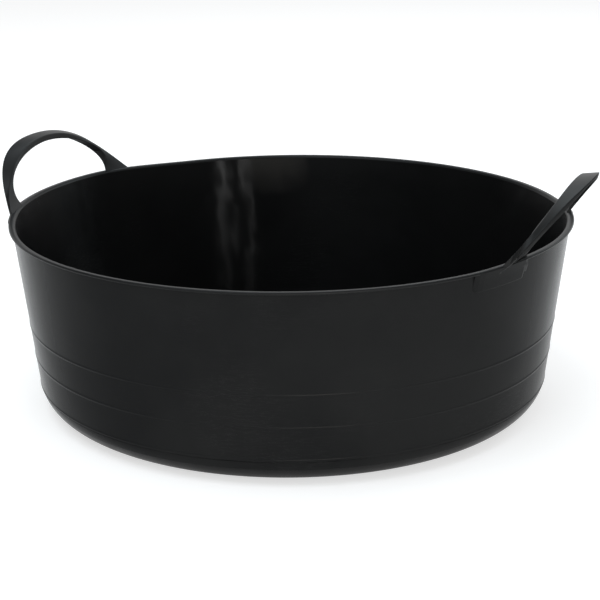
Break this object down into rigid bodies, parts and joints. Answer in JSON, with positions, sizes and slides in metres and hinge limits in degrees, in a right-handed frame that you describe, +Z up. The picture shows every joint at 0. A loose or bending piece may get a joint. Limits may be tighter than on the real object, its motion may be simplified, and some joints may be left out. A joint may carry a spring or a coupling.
{
  "type": "flexible bucket",
  "caption": "Low round flexible tub with a tapered wall, a flanged rim and a bendable strap handle on each side, for feed, water or yard work.",
  "frame": {"origin": "middle of the footprint, on the ground that the tub stands on", "axes": "+Z up; +X through the middle of the right handle, -X through the middle of the left one; +Y across, so the picture was taken from the -Y side, 23 degrees round towards +X"},
  "size_m": [0.444, 0.41, 0.1798],
  "materials": {
    "wall_plastic": "satin",
    "floor_plastic": "satin",
    "rim_plastic": "satin",
    "root_plastic": "satin",
    "handle_plastic": "satin"
  },
  "bodies": {
    "tub": {"tub_wall": "wall_plastic", "tub_floor": "floor_plastic", "rim": "rim_plastic", "right_front_root": "root_plastic", "right_back_root": "root_plastic", "left_front_root": "root_plastic", "left_back_root": "root_plastic"},
    "right_loop": {"right_handle": "handle_plastic"},
    "left_loop": {"left_handle": "handle_plastic"}
  },
  "joints": [
    {"name": "right_handle_bend", "type": "hinge", "parent": "tub", "child": "right_loop", "pos_m": [0.18759, 0, 0.143], "axis": [0, 1, 0], "range_deg": [-100, 40], "stiffness_Nm_per_rad": 0.35},
    {"name": "left_handle_bend", "type": "hinge", "parent": "tub", "child": "left_loop", "pos_m": [-0.18759, 0, 0.143], "axis": [0, -1, 0], "range_deg": [-100, 40], "stiffness_Nm_per_rad": 0.35}
  ]
}
